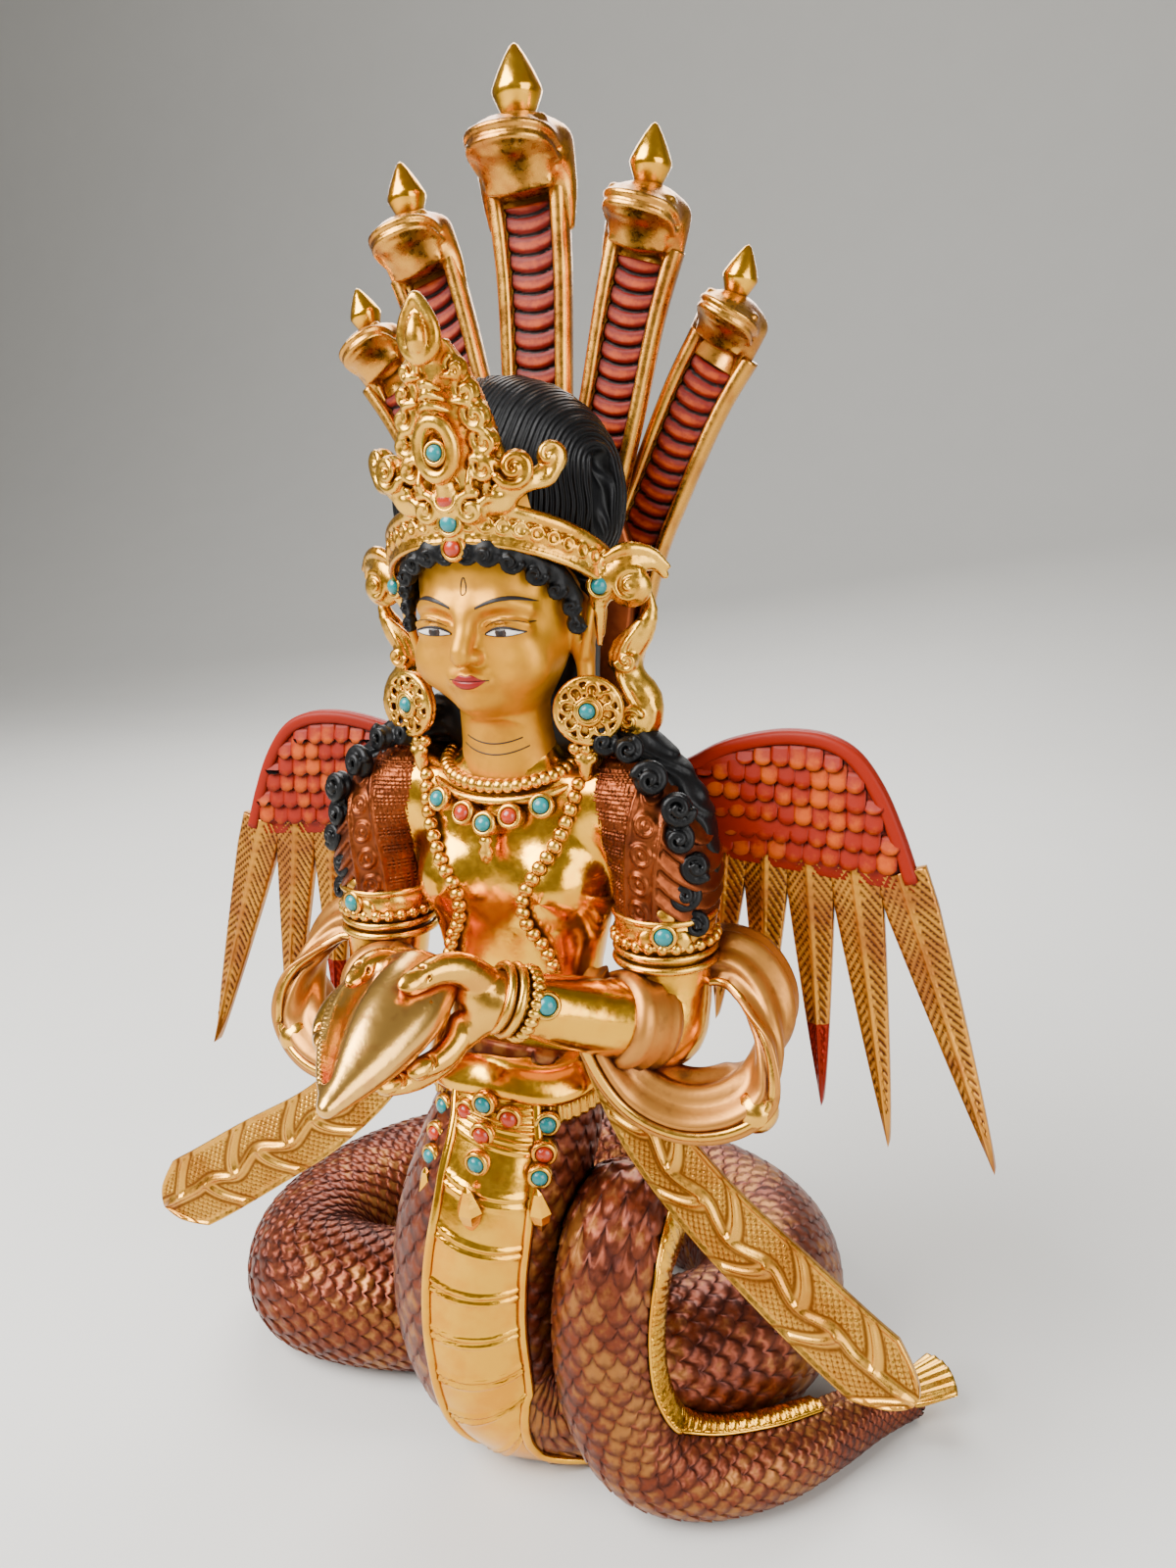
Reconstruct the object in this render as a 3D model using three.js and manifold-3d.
// Naga statue: a winged serpent maiden, cast hollow in copper and partly gilded.
// She rises from the coils of her own serpent body, which lie flat on the ground and are
// the base of the work. A hood of five snakes and two wings are castings of their own,
// fixed on flat seats at her back. Small turquoise and coral stones rest on flat settings.
// Units are millimetres. +Z is up, she faces -Y, and her left hand is on the +X side.
// The origin is on the ground below her waist.

import * as THREE from 'three';
import { mergeVertices } from 'three/addons/utils/BufferGeometryUtils.js';
import Module from 'manifold-3d';

const wasm = await Module();
wasm.setup();

// Driving dimensions
const GAP = 0.3;                 // clearance between touching pieces
const SEAT_Y = 12.7;             // flat seat of hood and wings on her back
const BODY_SIDES = 9;            // sides of the serpent's section
const LIMB_SIDES = 7;            // sides of an arm
const STONE_SIDES = 5;
const GROUND_CUT = 400;          // size of the block that cuts the underside flat

// The serpent's course: centre x, y, z and radius, from the waist to the tail
const SERPENT = [
  [0, 1, 71, 13.2], [-0.5, -2.5, 61, 13.6], [-2.4, -7, 51, 14.4], [-4.6, -9.6, 40, 14.9],
  [-5.2, -9.8, 28, 14.9], [-3.6, -7.6, 17.6, 14.6], [3, -3.8, 12.2, 14.2], [12, -0.8, 12.1, 13.6],
  [23, 4, 12.4, 13.3], [31.5, 13, 12.4, 13.3], [33.5, 26, 12.4, 13.3], [28.5, 40, 12.4, 13.3],
  [16, 49, 12.4, 13.3], [-3, 53, 12.4, 13.3], [-24, 52, 12.3, 13.2], [-42, 45, 12.1, 13],
  [-53, 31, 11.9, 12.8], [-56, 15, 11.8, 12.6], [-50.5, 4, 11.7, 12.5], [-40, 2, 11.6, 12.4],
  [-26, 5, 11.4, 12.2], [-13, 10, 11.4, 11.8], [-1, 13, 14, 11.2], [8, 11, 24, 10.4],
  [14, 4, 37, 9.4], [18, -6, 45, 8.8], [19, -13, 43, 8.4], [18.4, -15.6, 33, 8.3],
  [19.4, -16, 21, 8.2], [24, -15, 11.5, 8.2], [32, -12, 7.6, 8.1], [41, -6, 7, 7.5],
  [48, 3, 5.8, 6.2], [54, 12.5, 4.4, 4.8], [60, 20, 3.2, 3.6],
];
const BELLY_TURN = [0, 4, 12, 19, 20, 18, 14];   // degrees the belly turns to her left
const BELLY = { plates: 6, reach: 6.4, halfAngle: 0.5, rise: 0.7, foot: 2, fill: 0.8 };
const SERPENT_STEPS = 50;
const TAIL_FIN = { start: [58, 18, 3], end: [66.4, 23.8, 7], width: 11, thickness: 2.4 };

// Upper body: height, centre y, half width, half depth
const TORSO = [
  [66, -0.5, 13.8, 12.6], [76, 0.2, 13.6, 9.6], [83, 0.2, 13.4, 9.1],
  [94, 0.3, 15.6, 9.7], [104, 0.6, 18.4, 9.3], [111, 0.8, 20.2, 8.2],
  [115.5, 0.8, 18.6, 7.2], [119.5, 0.6, 8.4, 6.6], [131, -0.4, 6.8, 6.6],
];
const HEAD = [
  [125.8, -5.4, 3.4, 3.2], [127.6, -5.2, 6.4, 5.4], [130.6, -3.8, 9.4, 8],
  [135, -2.1, 11.8, 10.4], [142, -0.5, 13.2, 12.2], [151, 0, 12.8, 12.4],
];
const CHIGNON = [
  [143, 3.6, 13.6, 10.4], [151, 1.2, 17.6, 12.8], [156, 0.8, 20, 12.6],
  [163, 0.8, 19.2, 12.4], [169, 1, 14.6, 10.4], [173.4, 1.6, 5.4, 4.4],
];
const BACK_HAIR = [
  [92, 9, 6, 4.2], [99, 8.6, 12.6, 5], [112, 7, 19.4, 6.6],
  [118, 6, 17.2, 7.6], [124, 5, 12.6, 8.4], [146, 4, 14, 9.6],
];
const BREAST = { x: 8.2, y: -5.4, z: 99.5, radius: 6.2 };
const NOSE = [[0, -12.2, 143.4, 1], [0, -13.6, 139, 1.4], [0, -14.6, 136.2, 1.9], [0, -12, 134.8, 1]];

// Arms for her left side: centre x, y, z and radius. The right side is mirrored.
const UPPER_ARM = [[15.4, 1.6, 114.6, 6.6], [22.4, 1.4, 110.4, 8.2], [24.4, 0.6, 101, 8],
  [24.2, 0.1, 95.4, 7.4], [24.3, 0, 94.6, 8.4], [24.4, -0.2, 91.6, 8.2], [24.5, -0.3, 90.8, 7],
  [25.2, -1.4, 80, 6.2], [24.2, -4.4, 76.6, 5.2]];
const FOREARM = [[25.2, -2, 78.6, 6.2], [19, -11, 82, 5.6], [13.2, -18.8, 86, 4.8],
  [12.6, -19.6, 86.4, 6], [10.2, -22.2, 87.8, 6], [9.4, -23, 88.4, 4.4]];
const LEFT_PALM = [[8.6, -24, 89, 4], [6.6, -27, 90, 4.8], [6, -30, 87.4, 4.6],
  [4.6, -32.4, 84.4, 3.4]];
const RIGHT_PALM = [[-8.6, -24, 89, 4], [-10.4, -28, 89.4, 4.6], [-10.6, -32.4, 87, 4.2],
  [-9.6, -35.6, 84.6, 3]];
const PALM_FLATNESS = 0.7;
const FINGER_RADIUS = 1.75;
const LEFT_FINGERS = [
  [[7, -26, 92], [5, -29.4, 95.2], [1.2, -33, 94.4]],
  [[6, -30.6, 84.6], [5, -34.4, 83.2], [3, -37.4, 84.2]],
  [[5, -31, 82], [3.6, -35.6, 80.8], [0.4, -39.8, 82.6]],
  [[4, -30, 80.6], [1.6, -34.4, 79.4], [-1.4, -37.4, 80.4]],
];
const RIGHT_FINGERS = [
  [[-9, -24.6, 92], [-10, -28, 93.8], [-10.8, -31.2, 92.8]],
  [[-11.8, -30, 90], [-12.4, -36, 88.6], [-10.6, -40.4, 87.2]],
  [[-11, -31, 87], [-11, -37.4, 85.8], [-8.6, -42.4, 85]],
  [[-9.4, -31, 84.4], [-8.8, -36.4, 82.8], [-6.4, -40.2, 82.2]],
];
const CONCH = [[-2.4, -26.5, 91.4, 4], [-2.6, -29.5, 91, 5.6], [-3, -33.5, 89.4, 6],
  [-3.2, -38.5, 87.8, 5], [-3.4, -44, 85.8, 3.3], [-3.5, -50.6, 83.8, 1.1]];

// Vest hem and fringe: height and how far each row stands out
const HEM_ROWS = [[73, 0], [69.4, 2], [67.6, 0.6], [64, 1.4], [62, 0]];
const HEM = { sides: 16, y: -1, halfWidth: 14.2, halfDepth: 12.4, wave: 0.9, waves: 4, wavyRows: 3,
  dip: 1.5 };

// Beads: a collar round the neck and two long strings over the chest
const COLLAR = { beads: 11, radius: 1.25, y: 1.4, z: 118.2, halfWidth: 9.6, halfDepth: 8.6, sag: 2.6 };
const STRAND = [[13.2, -4.8, 114.6], [10.8, -6.8, 108.4], [8.6, -9.2, 103], [5.4, -9.4, 97.6],
  [7.6, -8.2, 91], [9, -7.3, 85]];
const STRAND_BEADS = 7;
const STRAND_BEAD_RADIUS = 1.15;

// Curls of hair down each upper arm: x, y, z and radius
const SHOULDER_CURLS = [[22, -4, 116, 3.2], [26.8, -3.6, 110.6, 3.2], [29.2, -3.2, 104.8, 3.1],
  [30, -3, 99.4, 2.7]];
const CURL_HEIGHT = 3;

// Crown: a tiara band over the brow, a leaning leaf, volutes, temple leaves and side flames
const TIARA = { points: 15, thickness: 2.4, halfWidth: 16.4, halfDepth: 14, y: 0.6, z: 145.6, rise: 8.4 };
const HALF_LEAF = [[0, 154], [5.4, 154.6], [8.6, 158], [8.2, 161], [6.6, 162.2], [8.2, 165.2],
  [5.4, 167], [6.2, 170.4], [3.6, 172.6], [4, 176]];
const LEAF = { front: -17.4, thickness: 5.4, lean: 0.14, middle: 163 };
const LEAF_FLAME = [[0, -19.2, 172, 1.6], [0, -20.6, 176, 3.4], [0, -20.8, 179, 2.8],
  [0, -20.4, 183.6, 0.6]];
const VOLUTE_ARM = [[4.6, -15.4, 157, 1.6], [9, -13.6, 158, 1.9], [12, -10.8, 160, 1.7]];
const VOLUTE = { place: [13.2, -9.4, 161.6], radius: 2.8, height: 1.8 };
const TEMPLE_LEAF = [[15.4, -1, 141.6, 1.8], [17.4, -1, 145, 3], [21, 0.4, 147.4, 2.2],
  [24, 1.8, 146.4, 0.8]];
const SIDE_FLAME = [[7, 5, 123.4, 1.8], [20, 3, 124, 2.2], [18, 3, 130, 2.4], [19.4, 3, 134.4, 2.4],
  [22.6, 2.6, 137.6, 1.8], [22.4, 2.2, 142.4, 0.7]];

// Ears with long lobes, and a disc and drop hanging from each
const EAR = { place: [13.2, 0, 136.4], size: [1.6, 3, 5.4] };
const EAR_LOBE = [[12.4, -0.4, 136, 1.6], [14, -2.6, 127, 1.6]];
const EAR_DISC = { place: [14.4, -3.4, 126.8], radii: [5.2, 5], thickness: 2.6, turn: 0.32 };
const EAR_DROP = { place: [13.6, -3.4, 120.6], size: [1.6, 1.4, 2.8] };
const LIPS = { place: [0, -12.4, 131.8], size: [2.6, 1.1, 1] };

// Faceted drops that hang from the belt
const SIDE_DROP = { place: [9.6, -17.2, 52.4], size: [2.2, 1.6, 3.8] };
const MIDDLE_DROP = { place: [0, -21.8, 53.2], size: [2.4, 1.8, 4.2] };

// Sashes: a loop below each elbow and a long tail to the ground side
const LOOP = [[29.6, 3.4, 87], [35.4, 3.2, 87], [40.6, 1.4, 83], [42.4, -2, 76.4], [41, -5.2, 69.6],
  [36, -7.8, 65.8], [29, -9.4, 65.8], [21.8, -10, 70.4], [17.8, -11.4, 79], [16.6, -13, 88]];
const LOOP_RADII = [4.2, 2.2];
const SASH = [[15.6, -8.6, 78], [19.4, -9.4, 71.4], [25.4, -10.6, 63], [34.4, -12, 54],
  [45.6, -14, 45.8], [56.4, -15.8, 38.4], [65.4, -17, 33.2]];
const SASH_LIFT = [0, 0, 1, 2, 3, 3.4, 3.4];     // how much higher her right tail hangs
const SASH_WIDTHS = [7, 8.6, 10.4, 11.4, 12.6, 13, 7];
const SASH_THICKNESS = 2.4;

// Hood: for each snake its spine from the nape to the crown of the head (x, z)
const HOOD_FRONT = SEAT_Y + GAP;
const SNAKE_DEPTH = 5.4;
const SNAKE_WIDTH = 10.6;
const SNAKES = [
  { spine: [[0, 152], [0, 164], [0.4, 177], [0.6, 190], [0, 203]], depth: 0 },
  { spine: [[7.4, 152], [10, 161], [12.6, 170.6], [15.6, 183], [18.6, 193]], depth: 0.4 },
  { spine: [[8, 124], [13.4, 146], [18.8, 159], [24.4, 170.6], [29.5, 178.8]], depth: 4.9 },
];
const FINIAL = [[0, 0], [1.5, 0], [3.5, 4], [2.9, 6], [0, 11.8]];
const SNAKE_SCALES = [1, 0.82, 0.7];
const SNAKE_ROWS = 7;           // stations along a hood snake
const CHANNEL_DEPTHS = [1.4, 2.2];
const SNAKE_TAPER = 0.06;       // how much narrower a strip is at its foot
const SNAKE_SLIMMING = 0.4;     // how much a smaller snake's strip narrows with its head
const SNAKE_HEAD = [[0, 4.7, -5.8, 4.9], [0, 4.1, -0.8, 6.5], [0, 1, 3.4, 6.2], [0, -5, 3, 5.2],
  [0, -8.4, 1, 2.6]];
const HOOD_PLATE = [[-7, 104], [7, 104], [16, 146], [10, 163], [-10, 163], [-16, 146]];
const HOOD_PLATE_THICKNESS = 5.6;

// Wing: outline of her left wing in its own plane (x outward, z up), root at the shoulder
const WING_THICKNESS = 2.6;
const WING_TURN = 0.1;           // the tips come forward by this much per millimetre
const WING_TOP = [[9, 99], [14, 110], [24.6, 116.4], [29.9, 119.2], [36.2, 121], [41.5, 121.6],
  [46.7, 121], [51.1, 118.6], [54.8, 113.6], [57.8, 107], [60.3, 100]];
const FEATHER_TIPS = [[72.8, 55.2], [56.7, 55.9], [45.9, 60.6], [36, 68], [28, 72.4]];
const FEATHER_CROTCHES = [[55, 88.3], [46.2, 91], [38.8, 92.8], [31.4, 93.4]];
const QUILL_ROOTS = [[57.6, 99], [50.4, 98.8], [43.4, 98.6], [37, 98.4], [31, 98.2]];
const SCALE_ROWS = 4;
const ROW_SCALES = 5;

// Stones: place, facing direction, radius. Those with x above 0 have a mirrored twin.
// A sunk stone stands in carving, which is cut away round it.
const STONES = [
  { name: 'crown_turquoise', at: [0, -18.2, 163.4], face: [0, -1, 0.1],
    radius: 1.5, kind: 'turquoise', sunk: true },
  { name: 'brow_coral_upper', at: [0, -16, 157.4], face: [0, -1, 0.2],
    radius: 1.5, kind: 'coral', sunk: true },
  { name: 'brow_turquoise', at: [0, -15, 154.2], face: [0, -1, 0],
    radius: 1.25, kind: 'turquoise', sunk: true },
  { name: 'brow_coral_lower', at: [0, -14.6, 150.8], face: [0, -1, 0], radius: 1.2, kind: 'coral' },
  { name: 'temple_turquoise', at: [16.8, -3.4, 144.6], face: [0.5, -1, 0],
    radius: 1.35, kind: 'turquoise' },
  { name: 'earring_turquoise', at: [15, -5.4, 126.8], face: [0.35, -1, 0],
    radius: 1.35, kind: 'turquoise' },
  { name: 'necklace_turquoise', at: [8.6, -9, 113.2], face: [0.25, -1, 0.3],
    radius: 1.2, kind: 'turquoise' },
  { name: 'necklace_coral', at: [3.9, -10.2, 111.6], face: [0.1, -1, 0.3],
    radius: 1.2, kind: 'coral' },
  { name: 'necklace_centre', at: [0, -11, 110.4], face: [0, -1, 0.3],
    radius: 1.2, kind: 'turquoise' },
  { name: 'armband_turquoise', at: [26.6, -7.6, 94.2], face: [0.3, -1, 0],
    radius: 1.35, kind: 'turquoise', sunk: true },
  { name: 'bracelet_turquoise', at: [14.6, -23.2, 88.6], face: [0.5, -0.8, 0.35],
    radius: 1.35, kind: 'turquoise', sunk: true },
  { name: 'belt_side_upper', at: [9, -13.2, 63.8], face: [0.5, -1, 0],
    radius: 1.3, kind: 'turquoise' },
  { name: 'belt_side_middle', at: [9.4, -15.6, 60.2], face: [0.4, -1, 0],
    radius: 1.3, kind: 'coral', sunk: true },
  { name: 'belt_side_lower', at: [9.4, -17.6, 57.4], face: [0.4, -1, 0],
    radius: 1.2, kind: 'turquoise' },
  { name: 'belt_coral', at: [3.7, -15.6, 65], face: [0.2, -1, 0],
    radius: 1.35, kind: 'coral', sunk: true },
  { name: 'belt_centre_upper', at: [0, -16.6, 67.4], face: [0, -1, 0],
    radius: 1.25, kind: 'turquoise' },
  { name: 'belt_centre_coral', at: [0, -17.8, 62.8], face: [0, -1, 0],
    radius: 1.35, kind: 'coral' },
  { name: 'belt_centre_lower', at: [0, -20, 59.2], face: [0, -1, 0],
    radius: 1.3, kind: 'turquoise' },
];
const BEZEL_WALL = 1;
const BEZEL_DEPTH = 3;
const STONE_ROOM = 5;

const materials = {
  figure: new THREE.MeshStandardMaterial({ color: 0xb87a3c, roughness: 0.38, metalness: 0.85 }),
  hood: new THREE.MeshStandardMaterial({ color: 0xb5562c, roughness: 0.5, metalness: 0.5 }),
  wing: new THREE.MeshStandardMaterial({ color: 0xa64a24, roughness: 0.6, metalness: 0.3 }),
  turquoise: new THREE.MeshStandardMaterial({ color: 0x2f9fb4, roughness: 0.35, metalness: 0 }),
  coral: new THREE.MeshStandardMaterial({ color: 0xc03a26, roughness: 0.35, metalness: 0 }),
};

// Turns a closed three.js geometry into a solid that can be joined and cut
function solid(geometry) {
  const bare = geometry.index ? geometry.toNonIndexed() : geometry.clone();
  bare.deleteAttribute('normal');
  bare.deleteAttribute('uv');
  const merged = mergeVertices(bare, 1e-4);
  return new wasm.Manifold(new wasm.Mesh({
    numProp: 3,
    vertProperties: new Float32Array(merged.attributes.position.array),
    triVerts: new Uint32Array(merged.index.array),
  }));
}

function join(solids) {
  let level = solids;
  while (level.length > 1) {
    const next = [];
    for (let i = 0; i < level.length; i += 2) {
      next.push(i + 1 < level.length ? level[i].add(level[i + 1]) : level[i]);
    }
    level = next;
  }
  return level[0];
}

function toMesh(name, body, material) {
  const data = body.getMesh();
  const geometry = new THREE.BufferGeometry();
  geometry.setAttribute('position', new THREE.BufferAttribute(data.vertProperties, 3));
  geometry.setIndex(new THREE.BufferAttribute(data.triVerts, 1));
  const mesh = new THREE.Mesh(geometry, material);
  mesh.name = name;
  return mesh;
}

// Skins a list of closed rings, each with the same number of points, and caps both ends
function loftRings(rings) {
  const sides = rings[0].length;
  const positions = [];
  const triangles = [];
  for (const ring of rings) {
    for (const point of ring) positions.push(point.x, point.y, point.z);
  }
  for (let i = 0; i + 1 < rings.length; i++) {
    for (let j = 0; j < sides; j++) {
      const a = i * sides + j;
      const b = i * sides + (j + 1) % sides;
      triangles.push(a, b, b + sides, a, b + sides, a + sides);
    }
  }
  for (const [first, flip] of [[0, true], [(rings.length - 1) * sides, false]]) {
    const centre = rings[first / sides].reduce((sum, p) => sum.add(p), new THREE.Vector3());
    centre.divideScalar(sides);
    const middle = positions.length / 3;
    positions.push(centre.x, centre.y, centre.z);
    for (let j = 0; j < sides; j++) {
      const a = first + j;
      const b = first + (j + 1) % sides;
      triangles.push(...(flip ? [middle, b, a] : [middle, a, b]));
    }
  }
  const geometry = new THREE.BufferGeometry();
  geometry.setAttribute('position', new THREE.Float32BufferAttribute(positions, 3));
  geometry.setIndex(triangles);
  return geometry;
}

// Level elliptical sections stacked up: height, centre y, half width, half depth
function stackedBody(sections, sides, centreX = 0) {
  return loftRings(sections.map(([z, y, halfWidth, halfDepth]) => {
    const ring = [];
    for (let j = 0; j < sides; j++) {
      const angle = 2 * Math.PI * (j + 0.5) / sides;
      ring.push(new THREE.Vector3(
        centreX + halfWidth * Math.cos(angle), y + halfDepth * Math.sin(angle), z));
    }
    return ring;
  }));
}

// Frames along a smooth curve, carried along without twist
function framesAlong(points, steps, startSide) {
  const curve = new THREE.CatmullRomCurve3(points.map(p => new THREE.Vector3(p[0], p[1], p[2])));
  const frames = [];
  const side = startSide.clone();
  for (let i = 0; i <= steps; i++) {
    const t = i / steps;
    const tangent = curve.getTangent(t);
    side.addScaledVector(tangent, -side.dot(tangent)).normalize();
    const up = new THREE.Vector3().crossVectors(tangent, side);
    frames.push({ t, centre: curve.getPoint(t), tangent, side: side.clone(), up });
  }
  return frames;
}

// Smooth value along a list at t from 0 to 1
function along(values, t) {
  const place = t * (values.length - 1);
  const i = Math.min(Math.floor(place), values.length - 2);
  return THREE.MathUtils.lerp(values[i], values[i + 1], place - i);
}

// A limb of round section through points [x, y, z, radius]
function limb(points, sides, steps, flatten = 1, startSide = new THREE.Vector3(1, 0, 0)) {
  const radii = points.map(p => p[3]);
  return loftRings(framesAlong(points, steps, startSide).map(frame => {
    const radius = along(radii, frame.t);
    const ring = [];
    for (let j = 0; j < sides; j++) {
      const angle = 2 * Math.PI * (j + 0.5) / sides;
      ring.push(frame.centre.clone()
        .addScaledVector(frame.side, radius * Math.cos(angle))
        .addScaledVector(frame.up, radius * flatten * Math.sin(angle)));
    }
    return ring;
  }));
}

function mirrored(geometry) {
  const copy = geometry.index ? geometry.toNonIndexed() : geometry.clone();
  const position = copy.attributes.position;
  for (let i = 0; i < position.count; i += 3) {
    const points = [0, 1, 2].map(k => new THREE.Vector3().fromBufferAttribute(position, i + k));
    points.reverse().forEach((p, k) => position.setXYZ(i + k, -p.x, p.y, p.z));
  }
  return copy;
}

function bothSides(geometry) {
  return [solid(geometry), solid(mirrored(geometry))];
}

function placed(geometry, place, scale = [1, 1, 1]) {
  return geometry.scale(...scale).translate(...place);
}

// A flat outline with thickness, its face turned to -Y, standing at the given depth
function upright(outline, thickness, frontY) {
  const shape = new THREE.Shape(outline.map(([x, z]) => new THREE.Vector2(x, z)));
  const geometry = new THREE.ExtrudeGeometry(shape, { depth: thickness, bevelEnabled: false });
  return geometry.rotateX(Math.PI / 2).translate(0, frontY + thickness, 0);
}

// A curl or scroll end: a round boss with a dimpled middle, facing -Y
function rosette(centre, radius, height) {
  const profile = [[0, -height], [radius, -height], [radius * 0.7, height], [0, height * 0.3]]
    .map(p => new THREE.Vector2(...p));
  return new THREE.LatheGeometry(profile, 5).rotateX(Math.PI).translate(...centre);
}

// The serpent body with its raised belly plates down the front column
function serpentParts() {
  const radii = SERPENT.map(p => p[3]);
  const frames = framesAlong(SERPENT, SERPENT_STEPS, new THREE.Vector3(1, 0, 0));
  const rings = frames.map(frame => {
    const radius = along(radii, frame.t);
    const ring = [];
    for (let j = 0; j < BODY_SIDES; j++) {
      const angle = 2 * Math.PI * (j + 0.5) / BODY_SIDES;
      ring.push(frame.centre.clone()
        .addScaledVector(frame.side, radius * Math.cos(angle))
        .addScaledVector(frame.up, radius * Math.sin(angle)));
    }
    return ring;
  });
  const parts = [solid(loftRings(rings))];
  const pitch = BELLY.reach / (SERPENT.length - 1) / BELLY.plates;
  for (let i = 0; i < BELLY.plates; i++) {
    parts.push(solid(bellyPlate((i + 0.6) * pitch, pitch * BELLY.fill)));
  }
  return parts;
}

// One belly plate: a shallow curved pad on the front of the column
function bellyPlate(start, length) {
  const curve = new THREE.CatmullRomCurve3(SERPENT.map(p => new THREE.Vector3(p[0], p[1], p[2])));
  const radii = SERPENT.map(p => p[3]);
  const { halfAngle, rise, foot } = BELLY;
  const turned = (SERPENT.length - 1) / (BELLY_TURN.length - 1);
  const rings = [0, 0.5, 1].map((share, k) => {
    const t = start + share * length;
    const tangent = curve.getTangent(t);
    const turn = THREE.MathUtils.degToRad(along(BELLY_TURN, Math.min(t * turned, 1)));
    const front = new THREE.Vector3(Math.sin(turn), -Math.cos(turn), 0);
    front.addScaledVector(tangent, -front.dot(tangent)).normalize();
    const side = new THREE.Vector3().crossVectors(front, tangent);
    const radius = along(radii, t);
    const lift = k === 1 ? rise : rise * 0.5;
    const ring = [];
    for (const [angle, out] of [[-halfAngle, -foot], [-halfAngle, GAP + lift], [0, GAP + lift],
      [halfAngle, GAP + lift], [halfAngle, -foot]]) {
      const direction = front.clone().multiplyScalar(Math.cos(angle))
        .addScaledVector(side, Math.sin(angle));
      ring.push(curve.getPoint(t).addScaledVector(direction, radius + out));
    }
    return ring.reverse();
  });
  return loftRings(rings);
}

function tailFin() {
  const start = new THREE.Vector3(...TAIL_FIN.start);
  const end = new THREE.Vector3(...TAIL_FIN.end);
  const direction = end.clone().sub(start).normalize();
  const across = new THREE.Vector3(-direction.y, direction.x, 0).normalize();
  const normal = new THREE.Vector3().crossVectors(direction, across);
  const shares = [[0, 0.55], [0.5, 0.8], [1, 1]];
  return loftRings(shares.map(([t, share]) => {
    const centre = start.clone().lerp(end, t);
    const half = TAIL_FIN.width / 2 * share;
    const thick = TAIL_FIN.thickness / 2;
    return [[-half, 0], [0, -thick], [half, 0], [0, thick]].map(([u, v]) =>
      centre.clone().addScaledVector(across, u).addScaledVector(normal, v));
  }));
}

function torsoParts() {
  const parts = [
    solid(stackedBody(TORSO, 12)),
    solid(stackedBody(BACK_HAIR, 8)),
    ...bothSides(placed(new THREE.SphereGeometry(BREAST.radius, 7, 5),
      [BREAST.x, BREAST.y, BREAST.z])),
    ...bothSides(limb(UPPER_ARM, LIMB_SIDES, UPPER_ARM.length - 1)),
    ...bothSides(limb(FOREARM, LIMB_SIDES, FOREARM.length - 1)),
  ];
  return [...parts, ...hemParts(), ...necklaceParts(), ...shoulderCurls()];
}

// The wavy edge of the vest and the ribbed fringe below it
function hemParts() {
  const rings = HEM_ROWS.map(([z, out], row) => {
    const ring = [];
    for (let j = 0; j < HEM.sides; j++) {
      const angle = 2 * Math.PI * (j + 0.5) / HEM.sides;
      const wave = row < HEM.wavyRows ? HEM.wave * Math.cos(angle * HEM.waves) : 0;
      const front = Math.max(0, -Math.sin(angle));
      ring.push(new THREE.Vector3((HEM.halfWidth + out) * Math.cos(angle),
        HEM.y + (HEM.halfDepth + out) * Math.sin(angle), z + wave - HEM.dip * front));
    }
    return ring;
  });
  return [solid(loftRings(rings.reverse()))];
}

// Bead collar and the two long bead strings over the chest
function necklaceParts() {
  const parts = [];
  for (let i = 0; i < COLLAR.beads; i++) {
    const angle = Math.PI * (1.02 + 0.96 * i / (COLLAR.beads - 1));
    parts.push(bead([COLLAR.halfWidth * Math.cos(angle), COLLAR.y + COLLAR.halfDepth * Math.sin(angle),
      COLLAR.z + COLLAR.sag * Math.sin(angle)], COLLAR.radius));
  }
  const strand = new THREE.CatmullRomCurve3(STRAND.map(p => new THREE.Vector3(...p)));
  for (let i = 0; i < STRAND_BEADS; i++) {
    const { x, y, z } = strand.getPoint(i / (STRAND_BEADS - 1));
    for (const hand of [-1, 1]) parts.push(bead([hand * x, y, z], STRAND_BEAD_RADIUS));
  }
  return parts;
}

function bead(place, radius) {
  return solid(placed(new THREE.OctahedronGeometry(radius), place));
}

// The hair over the shoulders ends in a row of round curls down each upper arm
function shoulderCurls() {
  const parts = [];
  for (const [x, y, z, radius] of SHOULDER_CURLS) {
    parts.push(...bothSides(rosette([x, y, z], radius, CURL_HEIGHT)));
  }
  return parts;
}

function headParts() {
  const parts = [
    solid(stackedBody(HEAD, 12)),
    solid(limb(NOSE, 5, 3)),
    solid(placed(new THREE.SphereGeometry(1, 6, 4), LIPS.place, LIPS.size)),
    ...bothSides(placed(new THREE.SphereGeometry(1, 5, 4), EAR.place, EAR.size)),
    solid(stackedBody(CHIGNON, 16)),
    ...crownParts(),
    ...earringParts(),
  ];
  return parts;
}

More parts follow.
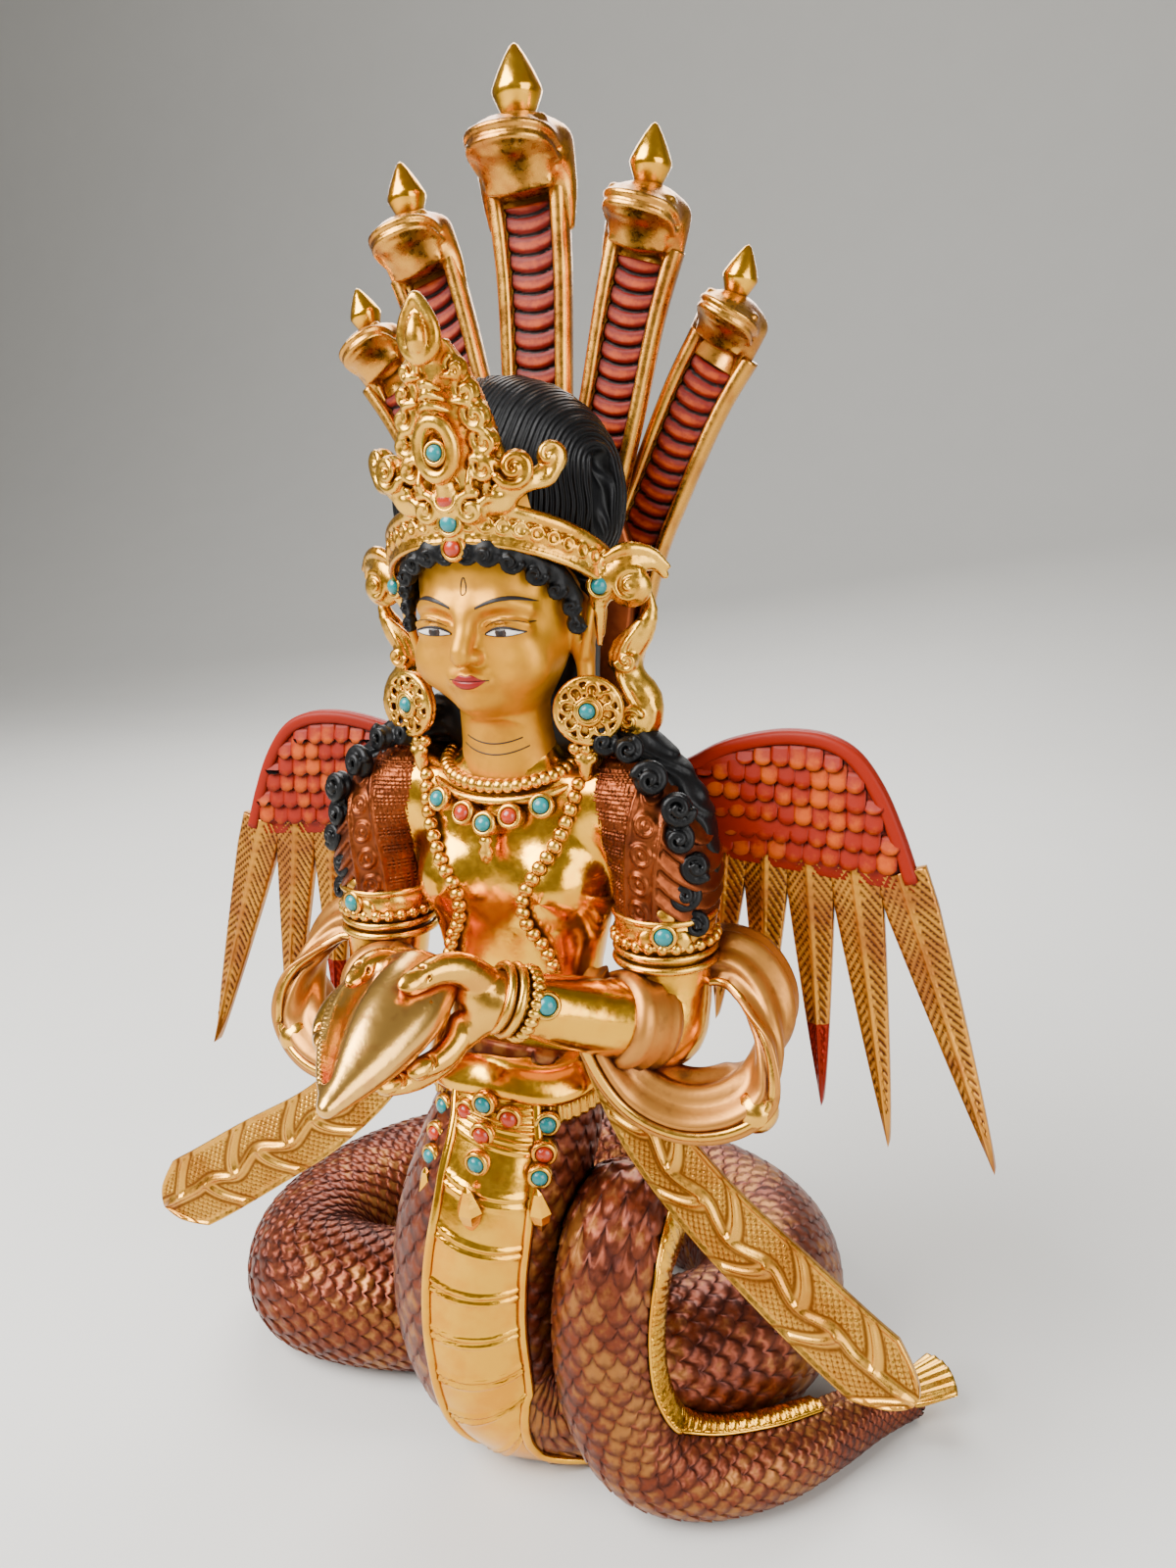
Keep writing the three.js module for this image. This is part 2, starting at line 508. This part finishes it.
// Tiara band, tall front leaf with scrolls, flame tip, temple leaves and side flames
function crownParts() {
  const band = [];
  for (let i = 0; i < TIARA.points; i++) {
    const angle = Math.PI * (1.01 + 0.98 * i / (TIARA.points - 1));
    band.push([TIARA.halfWidth * Math.cos(angle), TIARA.y + TIARA.halfDepth * Math.sin(angle),
      TIARA.z - TIARA.rise * Math.sin(angle), TIARA.thickness]);
  }
  const outline = [...HALF_LEAF, ...HALF_LEAF.slice(1).reverse().map(([x, z]) => [-x, z])];
  const lean = new THREE.Matrix4().makeShear(0, 0, 0, 0, 0, -LEAF.lean);
  lean.setPosition(0, LEAF.lean * LEAF.middle, 0);
  const upward = new THREE.Vector3(0, 0, 1);
  return [
    solid(limb(band, 4, 10, 0.8, upward)),
    solid(upright(outline, LEAF.thickness, LEAF.front).applyMatrix4(lean)),
    solid(limb(LEAF_FLAME, 6, 3)),
    ...bothSides(limb(VOLUTE_ARM, 5, 3)),
    ...bothSides(rosette(VOLUTE.place, VOLUTE.radius, VOLUTE.height)),
    ...bothSides(limb(TEMPLE_LEAF, 4, 3, 0.7, upward)),
    ...bothSides(limb(SIDE_FLAME, 4, 6, 0.8, new THREE.Vector3(0, 1, 0))),
  ];
}

function earringParts() {
  const disc = new THREE.CylinderGeometry(...EAR_DISC.radii, EAR_DISC.thickness, 8)
    .rotateZ(EAR_DISC.turn).translate(...EAR_DISC.place);
  const drop = placed(new THREE.OctahedronGeometry(1), EAR_DROP.place, EAR_DROP.size);
  const lobe = limb(EAR_LOBE, 4, 1);
  return [...bothSides(disc), ...bothSides(drop), ...bothSides(lobe)];
}

function handParts() {
  const fingers = [...LEFT_FINGERS, ...RIGHT_FINGERS].map(points =>
    solid(limb(points.map(p => [...p, FINGER_RADIUS]), 4, 3)));
  return [
    ...fingers,
    solid(limb(LEFT_PALM, LIMB_SIDES, 3, PALM_FLATNESS)),
    solid(limb(RIGHT_PALM, LIMB_SIDES, 3, PALM_FLATNESS)),
    solid(limb(CONCH, 8, 5)),
  ];
}

// A band of cloth as a flat lozenge section along a course
function cloth(points, widths, thickness, steps, widthDirection) {
  return loftRings(framesAlong(points, steps, widthDirection).map(frame => {
    const half = along(widths, frame.t) / 2;
    const thick = thickness / 2;
    return [[half, 0], [half * 0.5, thick], [0, thick * 0.45], [-half * 0.5, thick], [-half, 0],
      [-half * 0.5, -thick], [half * 0.5, -thick]].map(([u, v]) =>
      frame.centre.clone().addScaledVector(frame.side, u).addScaledVector(frame.up, v));
  }));
}

function sashParts() {
  const loop = limb(LOOP.map(p => [...p, LOOP_RADII[0]]), 5, 10, LOOP_RADII[1] / LOOP_RADII[0],
    new THREE.Vector3(0, 1, 0.8));
  const tail = lift => cloth(SASH.map(([x, y, z], i) => [x, y, z + lift * SASH_LIFT[i]]),
    SASH_WIDTHS, SASH_THICKNESS, 7, new THREE.Vector3(0.6, 0, 0.8));
  return [...bothSides(loop), solid(tail(0)), solid(mirrored(tail(1)))];
}

// Belt pendants: three faceted drops
function pendantParts() {
  const side = placed(new THREE.OctahedronGeometry(1), SIDE_DROP.place, SIDE_DROP.size);
  const middle = placed(new THREE.OctahedronGeometry(1), MIDDLE_DROP.place, MIDDLE_DROP.size);
  return [...bothSides(side), solid(middle)];
}

// Frame of a stone: its place and the turn that brings +Z to the facing direction
function stoneMatrix(stone, hand) {
  const face = new THREE.Vector3(hand * stone.face[0], stone.face[1], stone.face[2]).normalize();
  const turn = new THREE.Quaternion().setFromUnitVectors(new THREE.Vector3(0, 0, 1), face);
  const place = new THREE.Vector3(hand * stone.at[0], stone.at[1], stone.at[2]);
  return new THREE.Matrix4().compose(place, turn, new THREE.Vector3(1, 1, 1));
}

function stoneList() {
  const list = [];
  for (const stone of STONES) {
    if (stone.at[0] > 0) {
      list.push({ ...stone, hand: 1, name: `stone_${stone.name}_left` });
      list.push({ ...stone, hand: -1, name: `stone_${stone.name}_right` });
    } else {
      list.push({ ...stone, hand: 1, name: `stone_${stone.name}` });
    }
  }
  return list;
}

function stoneSolid(stone) {
  const profile = [[0, 0], [stone.radius, 0], [stone.radius * 0.94, 0.45],
    [0, stone.radius * 0.8]].map(p => new THREE.Vector2(...p));
  const dome = new THREE.LatheGeometry(profile, STONE_SIDES).rotateX(Math.PI / 2);
  return solid(dome.applyMatrix4(stoneMatrix(stone, stone.hand)));
}

function bezelSolid(stone) {
  const radius = stone.radius + BEZEL_WALL;
  const disc = new THREE.CylinderGeometry(radius, radius * 1.08, BEZEL_DEPTH, STONE_SIDES)
    .rotateX(Math.PI / 2).translate(0, 0, -GAP - BEZEL_DEPTH / 2);
  return solid(disc.applyMatrix4(stoneMatrix(stone, stone.hand)));
}

// The room each stone takes, cut from whatever carving stands in front of its setting
function roomForStone(stone) {
  const radius = stone.radius + 1.2 * GAP;
  const plug = new THREE.CylinderGeometry(radius, radius, STONE_ROOM, STONE_SIDES)
    .rotateX(Math.PI / 2).translate(0, 0, STONE_ROOM / 2 - 0.9 * GAP);
  return solid(plug.applyMatrix4(stoneMatrix(stone, stone.hand)));
}

function block(size, centre) {
  return solid(new THREE.BoxGeometry(...size).translate(...centre));
}

// The main casting, cut flat below and given a flat seat at the back
function figureSolid(stones) {
  const body = join([
    ...serpentParts(), solid(tailFin()), ...torsoParts(), ...headParts(), ...handParts(),
    ...sashParts(), ...pendantParts(), ...stones.map(bezelSolid),
  ]);
  const room = join(stones.filter(stone => stone.sunk).map(roomForStone));
  const ground = block([GROUND_CUT, GROUND_CUT, GROUND_CUT], [0, 0, -GROUND_CUT / 2]);
  const seat = block([60, 30, 92], [0, SEAT_Y + 15, 136]);
  return body.subtract(room).subtract(ground).subtract(seat);
}

// One hood snake: a strip with a sunk ribbed channel in front, a duck-billed head, a finial
function snakeParts(snake, size) {
  const front = HOOD_FRONT + snake.depth;
  const spine = new THREE.CatmullRomCurve3(snake.spine.map(([x, z]) =>
    new THREE.Vector3(x, front, z)));
  const half = SNAKE_WIDTH / 2;
  const rings = [];
  for (let i = 0; i < SNAKE_ROWS; i++) {
    const t = 0.94 * i / (SNAKE_ROWS - 1);
    const tangent = spine.getTangent(t);
    const side = new THREE.Vector3(tangent.z, 0, -tangent.x);
    const share = (1 - SNAKE_TAPER * (1 - t)) * (1 - SNAKE_SLIMMING * (1 - size));
    const sunk = CHANNEL_DEPTHS[i % 2];
    rings.push([[half * 0.6, SNAKE_DEPTH], [-half * 0.6, SNAKE_DEPTH], [-half, 0.4],
      [-half * 0.66, 0], [-half * 0.58, sunk], [half * 0.58, sunk], [half * 0.66, 0], [half, 0.4],
    ].map(([u, v]) => spine.getPoint(t).addScaledVector(side, u * share)
      .add(new THREE.Vector3(0, v, 0))));
  }
  const end = spine.getPoint(1);
  const tangent = spine.getTangent(1);
  const lean = Math.atan2(tangent.x, tangent.z);
  const head = limb(SNAKE_HEAD, 6, 5, 0.62);
  const finial = new THREE.LatheGeometry(FINIAL.map(p => new THREE.Vector2(...p)), 6)
    .rotateX(Math.PI / 2).rotateY(-0.5 * lean).translate(0, 1, 5.6);
  const tops = [head, finial].map(piece => solid(piece.scale(size, size, size).rotateY(lean)
    .translate(end.x, end.y, end.z)));
  return [solid(loftRings(rings)), ...tops];
}

function hoodSolid() {
  const [middle, inner, outer] = SNAKES;
  const parts = snakeParts(middle, SNAKE_SCALES[0]);
  for (const [snake, size] of [[inner, SNAKE_SCALES[1]], [outer, SNAKE_SCALES[2]]]) {
    const leftSnake = join(snakeParts(snake, size));
    parts.push(leftSnake, mirrorSolid(leftSnake));
  }
  parts.push(solid(upright(HOOD_PLATE, HOOD_PLATE_THICKNESS, HOOD_FRONT)));
  return join(parts);
}

// Her left wing: a plate cut to five long feathers, raised scale rows and feather quills
function wingGeometry() {
  const lower = [];
  FEATHER_TIPS.forEach((tip, i) => {
    lower.push(tip);
    if (i < FEATHER_CROTCHES.length) lower.push(FEATHER_CROTCHES[i]);
  });
  return upright([...WING_TOP, ...lower, [24, 92]].reverse(), WING_THICKNESS, HOOD_FRONT);
}

function wingSolid() {
  const parts = [solid(wingGeometry())];
  for (let row = 0; row < SCALE_ROWS; row++) {
    parts.push(solid(scaleRow(row)));
  }
  FEATHER_TIPS.forEach((tip, i) => parts.push(solid(quill(QUILL_ROOTS[i], tip))));
  return join(parts);
}

// A slim raised quill down the middle of a long feather
function quill([rootX, rootZ], [tipX, tipZ]) {
  const reach = new THREE.Vector2(tipX - rootX, tipZ - rootZ);
  const across = new THREE.Vector2(-reach.y, reach.x).setLength(0.8);
  const end = [rootX + 0.9 * reach.x, rootZ + 0.9 * reach.y];
  return upright([[rootX - across.x, rootZ - across.y], [rootX + across.x, rootZ + across.y], end],
    1.2, HOOD_FRONT - 0.5);
}

// One row of overlapping scale feathers with a scalloped lower edge
function scaleRow(row) {
  const top = 117.5 - 4.6 * row;
  const left = 24 + 0.4 * row;
  const right = 49 + 2.7 * row;
  const pitch = (right - left) / ROW_SCALES;
  const outline = [[left, top]];
  for (let i = 0; i < ROW_SCALES; i++) {
    const start = left + i * pitch;
    outline.push([start, top - 3.4], [start + 0.5 * pitch, top - 4.8]);
  }
  outline.push([right, top - 3.4], [right, top]);
  return upright(outline, 1.2, HOOD_FRONT - 0.5);
}

// Wings come forward towards their tips
function turnWing(body) {
  const data = body.getMesh();
  const points = data.vertProperties;
  for (let i = 0; i < points.length; i += 3) {
    points[i + 1] -= WING_TURN * Math.max(0, points[i] - 27);
  }
  return new wasm.Manifold(new wasm.Mesh({
    numProp: 3, vertProperties: points, triVerts: data.triVerts,
  }));
}

function mirrorSolid(body) {
  const data = body.getMesh();
  const points = data.vertProperties.slice();
  for (let i = 0; i < points.length; i += 3) points[i] = -points[i];
  const triangles = data.triVerts.slice().reverse();
  return new wasm.Manifold(new wasm.Mesh({ numProp: 3, vertProperties: points, triVerts: triangles }));
}

const statue = new THREE.Group();
const stones = stoneList();
const wing = turnWing(wingSolid());
statue.add(toMesh('naga_figure', figureSolid(stones), materials.figure));
statue.add(toMesh('naga_hood', hoodSolid(), materials.hood));
statue.add(toMesh('wing_left', wing, materials.wing));
statue.add(toMesh('wing_right', mirrorSolid(wing), materials.wing));
for (const stone of stones) {
  statue.add(toMesh(stone.name, stoneSolid(stone), materials[stone.kind]));
}

export default statue;
